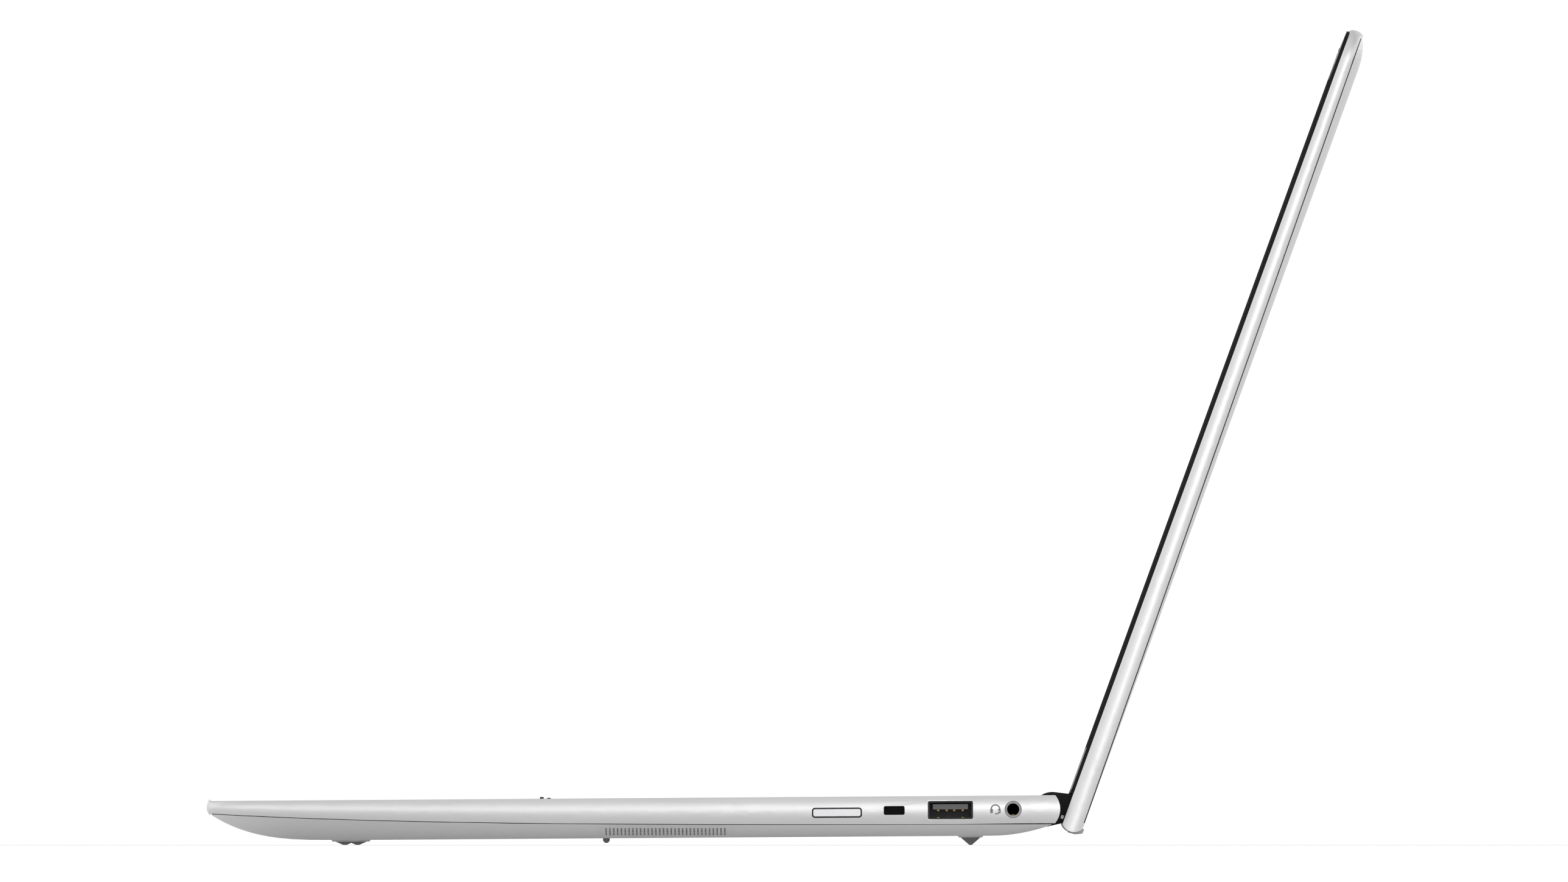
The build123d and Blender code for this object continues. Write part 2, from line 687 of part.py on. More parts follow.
AUDIO_BORE, AUDIO_MOUTH = 1.8, 179.2
with BuildPart() as audio_jack:
    with BuildSketch(side.offset(AUDIO_MOUTH)):
        with Locations((AUDIO_S, AUDIO_H)):
            Circle(2.4)
    extrude(amount=PORT_BACK - AUDIO_MOUTH)
    with BuildSketch(side.offset(AUDIO_MOUTH)):
        with Locations((AUDIO_S, AUDIO_H)):
            Circle(AUDIO_BORE)
    extrude(amount=-12.5, mode=Mode.SUBTRACT)
save(audio_jack, "audio_jack")

with BuildPart() as lock_slot_insert:
    with BuildSketch(side.offset(173.9)):
        slot_outline(LOCK_S, LOCK_H, 10, 5.4, 0.8)
        with Locations((LOCK_S, LOCK_H)):
            RectangleRounded(6.15, 2.6, 0.5, mode=Mode.SUBTRACT)
    extrude(amount=2)
save(lock_slot_insert, "lock_slot_insert")

with BuildPart() as sim_socket:
    with BuildSketch(side.offset(156.5)):
        slot_outline(SIM_S, SIM_H, 14.6, 2.8, 0.4)
    extrude(amount=19)
    with BuildSketch(side.offset(157.5)):
        with Locations((SIM_S, SIM_H)):
            Rectangle(12.5, 1.4)
    extrude(amount=19, mode=Mode.SUBTRACT)
save(sim_socket, "sim_socket")

with BuildPart() as sim_tray:
    with BuildSketch(side.offset(178.3)):
        slot_outline(SIM_S, SIM_H, 13.8, 2.05, 0.45)
    extrude(amount=1.35)
    with BuildSketch(side.offset(158.3)):
        with Locations((SIM_S, SIM_H)):
            Rectangle(12.0, 0.9)
    extrude(amount=20)
    with BuildSketch(deck.offset(SIM_H - 1)):
        with Locations((166.5, SIM_S)):
            RectangleRounded(12.5, 9, 0.8)
    extrude(amount=2, mode=Mode.SUBTRACT)
save(sim_tray, "sim_tray")

# ---------------------------------------------------------------- hinges
KNUCKLE_RADIUS = 3.2
BRACKET_SCREW_S = (210, 220, 230)
LID_FLOOR = LID_BACK + 1.0
LID_SCREW_PLACES = [(way * 141, y) for way in (-1, 1) for y in (12, 24, 36)]
with BuildPart() as hinge_bracket:
    with BuildSketch(side.offset(153.8)):
        with BuildLine():
            Polyline((205, -SKIN), (235.5, -SKIN), (235.5, -2.8), (HINGE_S, -2.8), (HINGE_S, -6.0),
                     (205, -6.0), close=True)
        make_face()
        with Locations((HINGE_S, HINGE_H)):
            Circle(2.6)
            Circle(PIN_RADIUS + 0.01, mode=Mode.SUBTRACT)
    extrude(amount=3)
    with BuildSketch(deck.offset(-SKIN)):
        with Locations((158.65, 220.25)):
            Rectangle(9.7, 30.5)
        with Locations(*[(160, s) for s in BRACKET_SCREW_S]):
            Circle(0.95, mode=Mode.SUBTRACT)
    extrude(amount=-1.2)
save_both(hinge_bracket, "hinge_bracket")

with BuildPart() as hinge_screws:
    with BuildSketch(deck.offset(-SKIN - 1.2)):
        with Locations(*[(way * 160, s) for way in (-1, 1) for s in BRACKET_SCREW_S]):
            Circle(1.8)
    extrude(amount=-0.8)
    with BuildSketch(deck.offset(-SKIN - 1.2)):
        with Locations(*[(way * 160, s) for way in (-1, 1) for s in BRACKET_SCREW_S]):
            Circle(0.9)
    extrude(amount=1.15)
save(hinge_screws, "hinge_screws")

with BuildPart() as hinge_pin:
    with BuildSketch(side.offset(133.5)):
        with Locations((HINGE_S, HINGE_H)):
            Circle(PIN_RADIUS)
    extrude(amount=23.2)
    chamfer(hinge_pin.edges().sort_by(Axis.X)[0], 0.3)
save_both(hinge_pin, "hinge_pin")

with BuildPart() as hinge_arm:
    with BuildSketch(lid_side.offset(134)):
        Circle(KNUCKLE_RADIUS)
        with BuildLine():
            Polyline((-1.0, 0), (-1.0, -10.7), (40, -10.7), (40, -9.3), (1.9, -9.3), (1.9, 0), close=True)
        make_face()
        Circle(PIN_RADIUS + RUNNING_FIT, mode=Mode.SUBTRACT)
    extrude(amount=14)
    with BuildSketch(lid_side.offset(148)):
        with Locations((-0.3, -4.95)):
            Rectangle(1.0, 0.8)
    extrude(amount=2.8)
    with BuildSketch(lid.offset(LID_FLOOR)):
        with Locations(*LID_SCREW_PLACES):
            Circle(0.95)
    extrude(amount=2, mode=Mode.SUBTRACT)
save_both(hinge_arm, "hinge_arm")

COVER_END = 150.5
with BuildPart() as hinge_cover:
    with BuildSketch(lid_side):
        with BuildLine():
            Polyline((-3.6, -3.02), (-1.9, LID_RIM), (7.1, LID_RIM), (5.9, -0.6))
            ThreePointArc((5.9, -0.6), (5.05, 1.55), (3.4, 3.25))
            ThreePointArc((3.4, 3.25), (-3.14, 3.5), (-3.6, -3.02))
        make_face()
    extrude(amount=COVER_END, both=True)
    with BuildSketch(lid_side):
        Circle(3.6)
        with BuildLine():
            Polyline((-1.4, 0), (-1.4, LID_RIM), (5.2, LID_RIM), (4.4, 0), close=True)
        make_face()
    extrude(amount=149, both=True, mode=Mode.SUBTRACT)
    with BuildSketch(lid_side):
        Circle(PIN_RADIUS + 0.2)
        with Locations((-0.3, -4.95)):
            Rectangle(1.1, 0.9)
    extrude(amount=COVER_END + 1, both=True, mode=Mode.SUBTRACT)
save(hinge_cover, "hinge_cover")

# ---------------------------------------------------------------- lid
LID_LOW = 7.3
LID_STATIONS = LONG_STATIONS[:-1] + [215, 252]


def lid_end_outline(reach):
    """The region between the rounded hinge end of the lid and y = reach, in the current sketch."""
    with BuildLine() as edge:
        ThreePointArc((-2.2, LID_RIM), (-3.5, -8.6), (-1.5, LID_BACK))
        Polyline((-1.5, LID_BACK), (-1.5, -14), (reach, -14), (reach, -3), (-2.2, -3), (-2.2, LID_RIM))
    make_face(edge.edges())


def lid_back_section(from_nose):
    """The back of the lid, from its crease to its flat face, standing up inside the band."""
    y = LID_TOP - from_nose
    half = plan_half_width(from_nose, band_inset(LID_RIM - lid_seam(y)) + 0.12)
    return belly_section(station(lid, y), half, lid_seam(y), lid_belly(y), skirt=0.6)


def lid_pocket(half, low, high, depth, radius):
    """Outline and depth of a pocket sunk into the lid from its rim."""
    with BuildSketch(lid.offset(LID_RIM)) as outline:
        with Locations((0, (low + high) / 2)):
            RectangleRounded(2 * half, high - low, radius)
    return extrude(outline.sketch, amount=-depth, mode=Mode.PRIVATE)


with BuildPart() as lid_cover:
    for distances in (NOSE_STATIONS, CORNER_STATIONS + LID_STATIONS):
        loft([
            band_section(lid, LID_TOP - t, t, LID_RIM, lid_seam(LID_TOP - t)) for t in distances
        ])
    loft([lid_back_section(t) for t in BELLY_STATIONS[:13] + [80, 150, 215, 252]], ruled=True)
    with BuildSketch(lid_side):
        lid_end_outline(-12)
    extrude(amount=HALF_WIDTH + 1, both=True, mode=Mode.SUBTRACT)
    add(lid_pocket(176.6, 8, 243.4, 3.2, 6), mode=Mode.SUBTRACT)
    add(lid_pocket(167, 8, 234, LID_RIM - LID_FLOOR, 6), mode=Mode.SUBTRACT)
    with BuildSketch(lid.offset(LID_RIM)):
        with Locations((-141.25, 3.6), (141.25, 3.6)):
            Rectangle(15.5, 10)
    extrude(amount=LID_FLOOR - LID_RIM, mode=Mode.SUBTRACT)
    with BuildSketch(lid.offset(LID_FLOOR)):
        with Locations(*LID_SCREW_PLACES):
            Circle(0.95)
    extrude(amount=-0.5, mode=Mode.SUBTRACT)
save(lid_cover, "lid_cover")

with BuildPart() as lid_screws:
    with BuildSketch(lid.offset(LID_FLOOR - 0.45)):
        with Locations(*LID_SCREW_PLACES):
            Circle(0.9)
    extrude(amount=1.9)
    with BuildSketch(lid.offset(LID_FLOOR + 1.45)):
        with Locations(*LID_SCREW_PLACES):
            Circle(1.8)
    extrude(amount=0.7)
save(lid_screws, "lid_screws")

with BuildPart() as hinge_trim:
    with BuildSketch(lid_side):
        with BuildLine():
            Polyline((-3.75, -8.4), (-3.6, -10.6), (-3.0, -12.0), (-2.7, -12.25), (-0.7, -12.25),
                     (-0.7, -8.4), close=True)
        make_face()
        with BuildSketch(mode=Mode.SUBTRACT):
            lid_end_outline(40)
        with Locations((2, LID_BACK - 0.15)):
            Rectangle(7, 0.3, mode=Mode.SUBTRACT)
    extrude(amount=150, both=True)
save(hinge_trim, "hinge_trim")

with BuildPart() as display_panel:
    with BuildSketch(lid.offset(LID_RIM - 0.05)):
        with Locations((0, (19.5 + 238.2) / 2)):
            RectangleRounded(349, 238.2 - 19.5, 1)
    extrude(amount=-2.6)
save(display_panel, "display_panel")


def face_outline(inset, top_radius, low_radius):
    """The outline of the screen side of the lid in the current sketch."""
    low, high = LID_LOW + inset, LID_TOP - NOSE_BULGE - 0.1 - inset
    half = 178.2 - inset
    with BuildLine() as edge:
        FilletPolyline((-half, low), (half, low), (half, high), (-half, high), close=True,
                       radius=[low_radius, low_radius, top_radius, top_radius])
    make_face(edge.edges())


GASKET = 1.2
with BuildPart() as screen_gasket:
    with BuildSketch(lid.offset(LID_RIM)):
        face_outline(0, 7.5, 2.5)
    extrude(amount=LID_FACE - LID_RIM)
    with BuildSketch(lid.offset(LID_RIM)):
        face_outline(GASKET, 6.3, 1.3)
    extrude(amount=2, mode=Mode.SUBTRACT)
save(screen_gasket, "screen_gasket")

CAMERA_Y = 240.9
with BuildPart() as display_bezel:
    with BuildSketch(lid.offset(LID_RIM)):
        face_outline(GASKET + 0.02, 6.3, 1.3)
    extrude(amount=LID_FACE - LID_RIM)
    with BuildSketch(lid.offset(LID_RIM - 1)):
        with Locations((0, (DISPLAY_LOW + DISPLAY_HIGH) / 2)):
            RectangleRounded(2 * DISPLAY_HALF, DISPLAY_HIGH - DISPLAY_LOW, 1)
        with Locations((0, CAMERA_Y)):
            Circle(1.9)
        with Locations((8.7, 242.6)):
            Rectangle(7.9, 1.3)
        with Locations((-24, CAMERA_Y), (24, CAMERA_Y)):
            Circle(0.4)
    extrude(amount=4, mode=Mode.SUBTRACT)
save(display_bezel, "display_bezel")

with BuildPart() as webcam_module:
    with BuildSketch(lid.offset(-6.4)):
        with Locations((0, CAMERA_Y)):
            Rectangle(44, 4.6)
    extrude(amount=-2.2)
    with BuildSketch(lid.offset(-6.4)):
        with Locations((0, CAMERA_Y)):
            Circle(1.6)
    extrude(amount=0.15)
save(webcam_module, "webcam_module")

with BuildPart() as webcam_shutter:
    with BuildSketch(lid.offset(-6.15)):
        with Locations((9.2, CAMERA_Y + 0.1)):
            RectangleRounded(13.8, 4.4, 0.5)
    extrude(amount=0.3)
    with BuildSketch(lid.offset(-5.9)):
        with Locations((11, 242.6)):
            Rectangle(2.6, 1.0)
    extrude(amount=1.4)
save(webcam_shutter, "webcam_shutter")
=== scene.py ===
"""Looks, light and camera for the laptop computer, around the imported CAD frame."""
from math import cos, exp, pi, radians, sin, sqrt

import bmesh
import bpy
from mathutils import Matrix, Vector
from mathutils.bvhtree import BVHTree


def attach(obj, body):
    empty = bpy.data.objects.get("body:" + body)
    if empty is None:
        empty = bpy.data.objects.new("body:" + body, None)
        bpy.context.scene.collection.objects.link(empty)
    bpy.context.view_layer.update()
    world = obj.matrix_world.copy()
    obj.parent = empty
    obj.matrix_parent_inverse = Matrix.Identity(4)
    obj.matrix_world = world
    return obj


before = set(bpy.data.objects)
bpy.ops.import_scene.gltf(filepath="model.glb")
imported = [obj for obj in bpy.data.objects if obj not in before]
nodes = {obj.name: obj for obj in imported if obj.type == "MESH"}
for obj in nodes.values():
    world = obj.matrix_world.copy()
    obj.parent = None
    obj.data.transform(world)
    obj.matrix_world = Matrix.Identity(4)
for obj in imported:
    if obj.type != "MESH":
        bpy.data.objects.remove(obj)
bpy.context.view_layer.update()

MM = 0.001
UP = Vector((0, 0, 1))

# Two frames in millimetres, both with x across the computer. The base's starts at the deck's front
# edge, with y to the rear and z out of the deck. The lid's starts on the hinge axis, with y up the
# screen and z out of the screen. s and h stand for y and z in the base's frame.
DECK_TILT = radians(0.39)
DECK_FRONT_Y, DECK_FRONT_Z = -169.6, 12.9
BASE = Matrix((
    (1, 0, 0, 0),
    (0, cos(DECK_TILT), -sin(DECK_TILT), DECK_FRONT_Y),
    (0, sin(DECK_TILT), cos(DECK_TILT), DECK_FRONT_Z),
    (0, 0, 0, 1),
))
LEAN = radians(19.96)
HINGE_Y, HINGE_Z = 77.124, 10.179
LID = Matrix((
    (1, 0, 0, 0),
    (0, sin(LEAN), -cos(LEAN), HINGE_Y),
    (0, cos(LEAN), sin(LEAN), HINGE_Z),
    (0, 0, 0, 1),
))


# ---------------------------------------------------------------- materials
def surface(name, color, rough, metallic=0.0, grain=1500.0, relief=1.5e-5, mottle=0.04, blotch=22.0,
            stretch=(1, 1, 1), spread=0.06, **sockets):
    """A material with fine grain in its relief and gloss, and slow variation in its colour."""
    mat = bpy.data.materials.new(name)
    mat.use_nodes = True
    tree = mat.node_tree
    shader = tree.nodes["Principled BSDF"]
    shader.inputs["Metallic"].default_value = metallic
    for socket, value in sockets.items():
        shader.inputs[socket.replace("_", " ")].default_value = value
    coords = tree.nodes.new("ShaderNodeTexCoord")
    mapping = tree.nodes.new("ShaderNodeMapping")
    mapping.inputs["Scale"].default_value = stretch
    tree.links.new(coords.outputs["Object"], mapping.inputs["Vector"])
    fine = tree.nodes.new("ShaderNodeTexNoise")
    fine.inputs["Scale"].default_value = grain
    fine.inputs["Detail"].default_value = 3
    tree.links.new(mapping.outputs["Vector"], fine.inputs["Vector"])
    wide = tree.nodes.new("ShaderNodeTexNoise")
    wide.inputs["Scale"].default_value = blotch
    wide.inputs["Detail"].default_value = 4
    tree.links.new(coords.outputs["Object"], wide.inputs["Vector"])
    gloss = tree.nodes.new("ShaderNodeMapRange")
    gloss.inputs["To Min"].default_value = max(0.02, rough - spread)
    gloss.inputs["To Max"].default_value = rough + spread
    tree.links.new(fine.outputs["Fac"], gloss.inputs["Value"])
    tree.links.new(gloss.outputs["Result"], shader.inputs["Roughness"])
    tint = tree.nodes.new("ShaderNodeValToRGB")
    for element, factor in zip(tint.color_ramp.elements, (1 - mottle, 1 + mottle)):
        element.color = [min(1, channel * factor) for channel in color] + [1]
    tint.color_ramp.elements[0].position = 0.3
    tint.color_ramp.elements[1].position = 0.7
    tree.links.new(wide.outputs["Fac"], tint.inputs["Fac"])
    tree.links.new(tint.outputs["Color"], shader.inputs["Base Color"])
    bump = tree.nodes.new("ShaderNodeBump")
    bump.inputs["Strength"].default_value = 0.35
    bump.inputs["Distance"].default_value = relief
    tree.links.new(fine.outputs["Fac"], bump.inputs["Height"])
    tree.links.new(bump.outputs["Normal"], shader.inputs["Normal"])
    return mat


def grey(level):
    return (level, level, level * 1.01)


blasted = surface("blasted_aluminium", (0.85, 0.845, 0.845), 0.46, metallic=1.0, grain=2600,
                  mottle=0.012)
tray_metal = surface("tray_aluminium", grey(0.80), 0.46, metallic=1.0, grain=3000, mottle=0.01)
rim_metal = surface("polished_rim", grey(0.95), 0.2, metallic=1.0, grain=3000, mottle=0.01)
steel = surface("brushed_steel", grey(0.55), 0.32, metallic=1.0, grain=500, stretch=(1, 1, 30),
                mottle=0.05)
dark_steel = surface("screw_steel", grey(0.32), 0.3, metallic=1.0, grain=900, mottle=0.06)
port_metal = surface("stamped_port", grey(0.045), 0.35, metallic=1.0, grain=900, mottle=0.05)
copper = surface("copper", (0.80, 0.44, 0.27), 0.28, metallic=1.0, grain=700, mottle=0.08)
contact_gold = surface("contact_gold", (0.34, 0.22, 0.07), 0.3, metallic=1.0, grain=1500, mottle=0.03)
key_plastic = surface("key_plastic", grey(0.028), 0.48, grain=2400, relief=2.5e-5, mottle=0.06)
legend_paint = surface("legend_paint", grey(0.62), 0.5, mottle=0.03)
black_plastic = surface("black_plastic", grey(0.007), 0.45, grain=2000, relief=2e-5, mottle=0.08,
                        Specular_IOR_Level=0.2)
bezel_plastic = surface("bezel_plastic", grey(0.008), 0.36, grain=2600, mottle=0.08,
                        Specular_IOR_Level=0.3)
gasket_rubber = surface("gasket_rubber", grey(0.008), 0.55, grain=1400, mottle=0.1,
                        Specular_IOR_Level=0.15)
foot_rubber = surface("foot_rubber", grey(0.30), 0.6, grain=1100, relief=6e-5, mottle=0.12)
dome_rubber = surface("dome_rubber", grey(0.05), 0.7, grain=1200, mottle=0.1)
stick_rubber = surface("stick_rubber", grey(0.03), 0.9, grain=2200, relief=1.2e-4, mottle=0.15)
trim_plastic = surface("trim_plastic", grey(0.50), 0.5, grain=1800, mottle=0.06)
ring_plastic = surface("ring_plastic", grey(0.36), 0.4, grain=2000, mottle=0.04)
tongue_plastic = surface("tongue_plastic", grey(0.13), 0.45, grain=2000, mottle=0.05)
# painted shade: flat dark colours that stand for the shade inside holes, gaps, slots and bores; the paler
# one is for the lower rows of side speaker holes
painted_hole_shade = surface("painted_hole_shade", grey(0.004), 0.9, mottle=0.2)
pale_hole_shade = surface("pale_hole_shade", grey(0.10), 0.8, mottle=0.2)
# painted shade: the colour of the thin dark lines along the lid's crease and the base's seam
painted_line_shade = surface("painted_line_shade", grey(0.02), 0.6, grain=1800, mottle=0.06, Specular_IOR_Level=0.2)
printed_mark = surface("printed_mark", grey(0.22), 0.5, mottle=0.05)
pad_surface = surface("touchpad_surface", grey(0.42), 0.33, metallic=0.55, grain=3200, relief=6e-6,
                      mottle=0.015)
button_surface = surface("button_surface", grey(0.40), 0.38, metallic=0.5, grain=2600, mottle=0.02)
screen_glass = surface("screen_glass", grey(0.006), 0.16, grain=3600, relief=3e-6, mottle=0.1, spread=0.02,
                       Coat_Weight=0.3, Coat_Roughness=0.12)
lens_glass = surface("lens_glass", (0.01, 0.012, 0.02), 0.05, grain=400, relief=1e-6, mottle=0.1,
                     spread=0.02, Coat_Weight=1.0)
board_mask = surface("board_mask", (0.02, 0.075, 0.045), 0.35, grain=260, relief=6e-5, mottle=0.25,
                     blotch=160)
battery_wrap = surface("battery_wrap", grey(0.03), 0.3, grain=300, relief=4e-5, mottle=0.1, blotch=60)
fan_plastic = surface("fan_plastic", grey(0.02), 0.4, grain=1200, mottle=0.1)

dressed = {
    blasted: "top_case bottom_cover lid_cover",
    tray_metal: "sim_tray",
    steel: "keyboard_plate hinge_bracket_left hinge_bracket_right hinge_arm_left hinge_arm_right "
           "hinge_pin_left hinge_pin_right",
    dark_steel: "bottom_screws hinge_screws lid_screws",
    port_metal: "usb_a_port_right usb_a_port_left usb_c_ports hdmi_port sim_socket",
    copper: "heat_pipe",
    key_plastic: "function_keys number_keys upper_letter_keys home_letter_keys lower_letter_keys "
                 "bottom_row_keys escape_key power_key backspace_key enter_key left_shift_key "
                 "right_shift_key space_bar",
    black_plastic: "hinge_cover speaker_left speaker_right fan_housing webcam_shutter",
    # painted shade: the lock slot's insert takes the dark hole colour
    painted_hole_shade: "lock_slot_insert",
    bezel_plastic: "display_bezel",
    gasket_rubber: "screen_gasket deck_bumpers",
    foot_rubber: "front_foot_left front_foot_right rear_foot centre_foot",
    dome_rubber: "rubber_domes",
    stick_rubber: "pointing_stick",
    trim_plastic: "hinge_trim",
    ring_plastic: "audio_jack",
    pad_surface: "touchpad",
    button_surface: "stick_button_left stick_button_right",
    screen_glass: "display_panel",
    board_mask: "main_board ssd_module wireless_card webcam_module",
    battery_wrap: "battery_pack",
    fan_plastic: "fan_rotor",
}
for mat, names in dressed.items():
    for name in names.split():
        nodes[name].data.materials.clear()
        nodes[name].data.materials.append(mat)


# ---------------------------------------------------------------- making pieces
def piece(name, bm, mat, body, smooth=False):
    """Turn a bmesh in the part's own frame into an object that rides on a body."""
    mesh = bpy.data.meshes.new(name)
    bm.to_mesh(mesh)
    bm.free()
    obj = bpy.data.objects.new(name, mesh)
    bpy.context.scene.collection.objects.link(obj)
    mesh.materials.append(mat)
    for face in mesh.polygons:
        face.use_smooth = smooth
    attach(obj, body)
    return obj


def at(space, x, y, z):
    """A point given in millimetres in the base's or the lid's frame, in metres in the part's own."""
    return (space @ Vector((x, y, z))) * MM


def join_loops(bm, loops):
    """Closed strips of faces between each loop of vertices and the next."""
    for front, back in zip(loops, loops[1:]):
        for i in range(len(front)):
            j = (i + 1) % len(front)
            bm.faces.new((front[i], front[j], back[j], back[i]))


def rounded_loop(width, height, radius, steps=6):
    """Points round a rounded rectangle centred on the origin."""
    points = []
    for corner, (sx, sy) in enumerate(((1, 1), (-1, 1), (-1, -1), (1, -1))):
        for step in range(steps + 1):
            angle = (corner + step / steps) * pi / 2
            points.append((sx * (width / 2 - radius) + radius * cos(angle),
                           sy * (height / 2 - radius) + radius * sin(angle)))
    return points


case_tree = BVHTree.FromObject(nodes["top_case"], bpy.context.evaluated_depsgraph_get())
cover_tree = BVHTree.FromObject(nodes["bottom_cover"], bpy.context.evaluated_depsgraph_get())
BAND_X, OPENING_X, OUTSIDE_X = 179.2, 175, 200


def on_band(s, h, lift=0.02):
    """The point on the right side band at s and h, lifted a little off its surface.

    A ray from outside finds it. Where the ray runs into an opening, the band's usual x is taken.
    """
    hit = case_tree.ray_cast(at(BASE, OUTSIDE_X, s, h), Vector((-1, 0, 0)))[0]
    place = hit if hit is not None and hit.x > OPENING_X * MM else at(BASE, BAND_X, s, h)
    return place + Vector((lift * MM, 0, 0))


# ---------------------------------------------------------------- key legends
PITCH = 18.7
LEGEND_LIFT = -0.15 + 0.012


def row_legends(widths, labels):
    """The x of each key's centre with its label, for a row of keys."""
    start = -sum(widths) * PITCH / 2
    placed = []
    for units, label in zip(widths, labels):
        placed.append((start + units * PITCH / 2, label))
        start += units * PITCH
    return placed


def add_text(bm, text, x, s, size):
    """Flat letters centred on x and s, just above the key caps."""
    curve = bpy.data.curves.new("legend", "FONT")
    curve.body = text
    curve.size = size * MM
    curve.align_x = "CENTER"
    curve.align_y = "CENTER"
    curve.resolution_u = 3
    holder = bpy.data.objects.new("legend", curve)
    bpy.context.scene.collection.objects.link(holder)
    mesh = bpy.data.meshes.new_from_object(holder.evaluated_get(bpy.context.evaluated_depsgraph_get()))
    first = len(bm.verts)
    bm.from_mesh(mesh)
    bm.verts.ensure_lookup_table()
    turn = BASE.to_3x3()
    spot = at(BASE, x, s, LEGEND_LIFT)
    for vert in bm.verts[first:]:
        vert.co = turn @ vert.co + spot
    bpy.data.objects.remove(holder)
    bpy.data.meshes.remove(mesh)
    bpy.data.curves.remove(curve)


letter_rows = {
    "function_keys": (214.2, [1.0] * 15, [""] + [f"F{i}" for i in range(1, 13)] + ["", "Del"]),
    "number_keys": (199.4, [1.0] * 13 + [2.0], list("`1234567890-=") + [""]),
    "upper_letter_keys": (181.2, [1.5] + [1.0] * 12 + [1.5], ["Tab"] + list("QWERTYUIOP[]") + ["\\"]),
    "home_letter_keys": (163.0, [1.75] + [1.0] * 11 + [2.25], ["Caps"] + list("ASDFGHJKL;'") + [""]),
    "lower_letter_keys": (144.8, [2.25] + [1.0] * 10 + [2.75], [""] + list("ZXCVBNM,./") + [""]),
    "bottom_row_keys": (126.6, [1.25, 1, 1, 1.25, 5, 1.25, 1, 1.05, 1.1, 1.1],
                        ["Ctrl", "Fn", "Sys", "Alt", "", "Alt", "Ctrl", "<", "", ">"]),
}
for node, (s, widths, labels) in letter_rows.items():
    letters = bmesh.new()
    for x, label in row_legends(widths, labels):
        if len(label) == 1:
            add_text(letters, label, x - 3.6, s + 3.2, 4.6)
        elif label:
            add_text(letters, label, x, s, 2.9)
    if node == "bottom_row_keys":
        arrow_x = row_legends(widths, labels)[8][0]
        for way in (1, -1):
            tip = [letters.verts.new(at(BASE, arrow_x + dx, s + way * (4.55 + ds), LEGEND_LIFT))
                   for dx, ds in ((-1.2, -0.7), (1.2, -0.7), (0, 1.0))]
            letters.faces.new(tip if way > 0 else tip[::-1])
    piece(node + "_legends", letters, legend_paint, node + "_body")

single_legends = {
    "escape_key": ("Esc", -130.9, 214.2),
    "power_key": ("On", 112.2, 214.2),
    "backspace_key": ("Back", 121.55, 199.4),
    "enter_key": ("Enter", 119.21, 163.0),
    "left_shift_key": ("Shift", -119.21, 144.8),
    "right_shift_key": ("Shift", 114.54, 144.8),
}
for node, (label, x, s) in single_legends.items():
    letters = bmesh.new()
    add_text(letters, label, x, s, 2.9)
    piece(node + "_legend", letters, legend_paint, node + "_body")


# ---------------------------------------------------------------- small holes
def add_disc(bm, centre, normal, radius, sides=10):
    """A small flat disc facing along normal."""
    turn = normal.to_track_quat("Z", "Y").to_matrix()
    corners = [bm.verts.new(centre + turn @ Vector((radius * cos(2 * pi * i / sides),
                                                    radius * sin(2 * pi * i / sides), 0)))
               for i in range(sides)]
    bm.faces.new(corners)


FIRST_S = 117.3
BOTH_SIDES = ((-1, "left"), (1, "right"))

# speaker holes in the deck on both sides of the keyboard, in rows of 10 and 11 by turns, each a flat dark
# disc of painted shade
GRILLE_X, GRILLE_ROWS, GRILLE_PITCH, GRILLE_RADIUS = 159.5, 61, 1.7, 0.42
GRILLE_LIFT = 0.012
deck_up = BASE.to_3x3() @ UP
for side, word in BOTH_SIDES:
    holes = bmesh.new()
    for row in range(GRILLE_ROWS):
        columns = 11 if row % 2 else 10
        for column in range(columns):
            x = side * (GRILLE_X + (column - (columns - 1) / 2) * GRILLE_PITCH)
            centre = at(BASE, x, FIRST_S + row * GRILLE_PITCH, GRILLE_LIFT)
            add_disc(holes, centre, deck_up, GRILLE_RADIUS * MM, 8)
    piece("deck_speaker_holes_" + word, holes, painted_hole_shade, "base")

# speaker holes along both sides of the underside, following its curve down from the seam, each a disc of
# painted shade: dark in the first rows, paler below
COLUMNS, ROWS, DARK_ROWS = 32, 8, 3
COLUMN_PITCH, ROW_PITCH, HOLE_RADIUS = 1.124, 0.78, 0.27
FIRST_HEIGHT, LAST_HEIGHT, HEIGHT_STEP = 4.72, 2.3, 0.02
HOLE_LIFT = 0.015
for side, word in BOTH_SIDES:
    dark, faint = bmesh.new(), bmesh.new()
    for column in range(COLUMNS):
        y = at(BASE, 0, FIRST_S + column * COLUMN_PITCH, -9).y
        height, last, row = FIRST_HEIGHT, None, 0
        while row < ROWS and height > LAST_HEIGHT:
            start = Vector((side * OUTSIDE_X * MM, y, height * MM))
            spot, normal = cover_tree.ray_cast(start, Vector((-side, 0, 0)))[:2]
            height -= HEIGHT_STEP
            if spot is None or (last is not None and (spot - last).length < ROW_PITCH * MM):
                continue
            last = spot
            row += 1
            holes = dark if row <= DARK_ROWS else faint
            add_disc(holes, spot + normal * HOLE_LIFT * MM, normal, HOLE_RADIUS * MM)
    piece("side_speaker_holes_" + word, dark, painted_hole_shade, "base")
    piece("side_speaker_pale_hole_shade_" + word, faint, pale_hole_shade, "base")

# ---------------------------------------------------------------- right-hand ports
USB_S, USB_H = 218.4, -4.18
AUDIO_S, AUDIO_H = 236.8, -4.1


